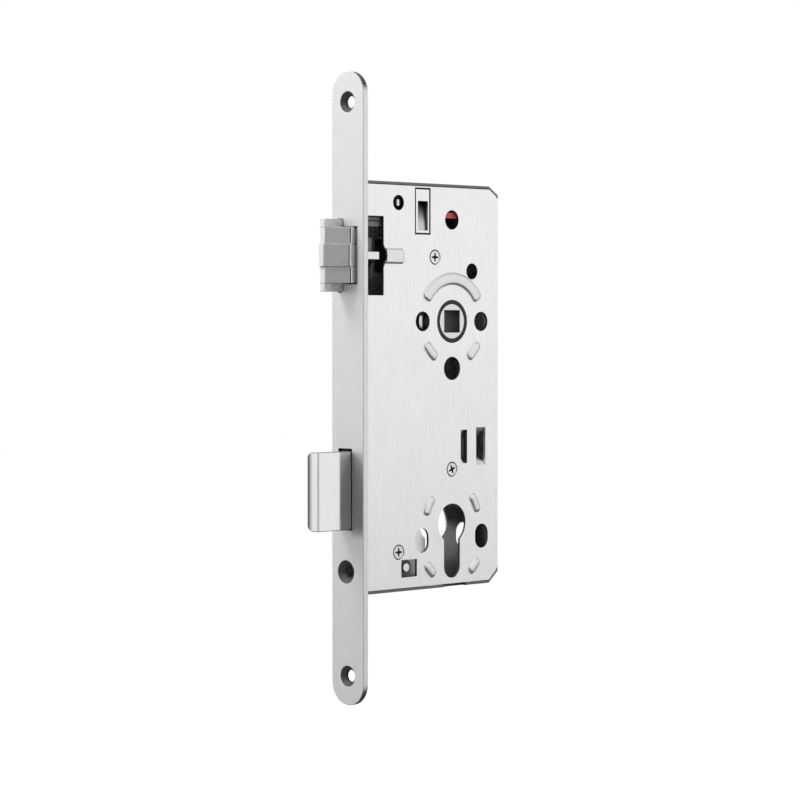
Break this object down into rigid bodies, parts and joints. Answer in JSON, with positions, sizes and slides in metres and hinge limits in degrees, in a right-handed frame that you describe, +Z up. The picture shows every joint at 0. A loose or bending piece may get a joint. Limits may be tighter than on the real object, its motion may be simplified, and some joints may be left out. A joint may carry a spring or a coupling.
{
  "type": "mortise lock",
  "caption": "Mortise door lock with a round-ended faceplate, slim sheet-metal case, bevelled latch, thrown deadbolt, square-hole follower and profile-cylinder opening.",
  "frame": {"origin": "front face of the faceplate, on its centre line, level with the follower's axis", "axes": "+X into the door from the faceplate's front, +Y from the cover to the back of the case, +Z up along the faceplate"},
  "size_m": [0.1108, 0.02, 0.28],
  "materials": {
    "faceplate_paint": "fine hammered silver paint",
    "galvanised_sheet": "galvanised, faint vertical scratches",
    "bright_steel": "bright zinc plate",
    "nickel_bolt": "polished nickel plate",
    "sintered_latch": "matt sintered steel",
    "blackened_steel": "phosphated",
    "black_plastic": "moulded",
    "red_plastic": "moulded",
    "spring_wire": "drawn wire"
  },
  "bodies": {
    "case": {"faceplate": "faceplate_paint", "case_body": "galvanised_sheet", "case_cover": "galvanised_sheet", "cover_screw_upper": "bright_steel", "cover_screw_middle": "bright_steel", "cover_screw_lower": "bright_steel", "post_upper": "bright_steel", "post_middle": "bright_steel", "post_lower": "bright_steel", "front_post": "bright_steel", "tumbler_post": "bright_steel", "guide_block": "galvanised_sheet", "red_stop_block": "red_plastic", "follower_bush_front": "black_plastic", "follower_bush_rear": "black_plastic", "follower_spring_seat": "bright_steel", "tumbler_spring_seat": "bright_steel", "latch_spring": "spring_wire", "follower_spring": "spring_wire", "tumbler_spring": "spring_wire"},
    "follower": {"follower": "bright_steel"},
    "latch": {"latch_head": "sintered_latch", "latch_carrier": "black_plastic", "latch_guide_bar": "bright_steel", "latch_tail": "galvanised_sheet", "latch_pin": "bright_steel"},
    "changer": {"changer_lever": "blackened_steel", "changer_stud": "bright_steel"},
    "deadbolt": {"deadbolt_head": "nickel_bolt", "deadbolt_tail": "galvanised_sheet", "deadbolt_stump": "bright_steel"},
    "tumbler": {"tumbler": "blackened_steel"}
  },
  "joints": [
    {"name": "follower_turn", "type": "hinge", "parent": "case", "child": "follower", "pos_m": [0.06, 0.0005, 0], "axis": [0, 1, 0], "range_deg": [0, 32], "deforming": ["follower_spring"]},
    {"name": "latch_slide", "type": "slide", "parent": "case", "child": "latch", "axis": [1, 0, 0], "range_m": [0, 0.0112], "stiffness_N_per_m": 400, "springref_m": -0.01, "deforming": ["latch_spring"]},
    {"name": "changer_pivot", "type": "hinge", "parent": "case", "child": "changer", "pos_m": [0.0258, 0.0005, -0.1033], "axis": [0, 1, 0], "range_deg": [0, 4.86]},
    {"name": "deadbolt_slide", "type": "slide", "parent": "case", "child": "deadbolt", "axis": [1, 0, 0], "range_m": [0, 0.02]},
    {"name": "tumbler_pivot", "type": "hinge", "parent": "case", "child": "tumbler", "pos_m": [0.018, 0.0005, -0.047], "axis": [0, 1, 0], "range_deg": [0, 4.4], "stiffness_Nm_per_rad": 0.4, "springref_deg": 6.88, "deforming": ["tumbler_spring"]}
  ],
  "couplings": [
    {"joint": "follower_turn", "follows": "latch_slide", "rad_per_m": 49.85},
    {"joint": "changer_pivot", "follows": "latch_slide", "rad_per_m": 7.55}
  ]
}
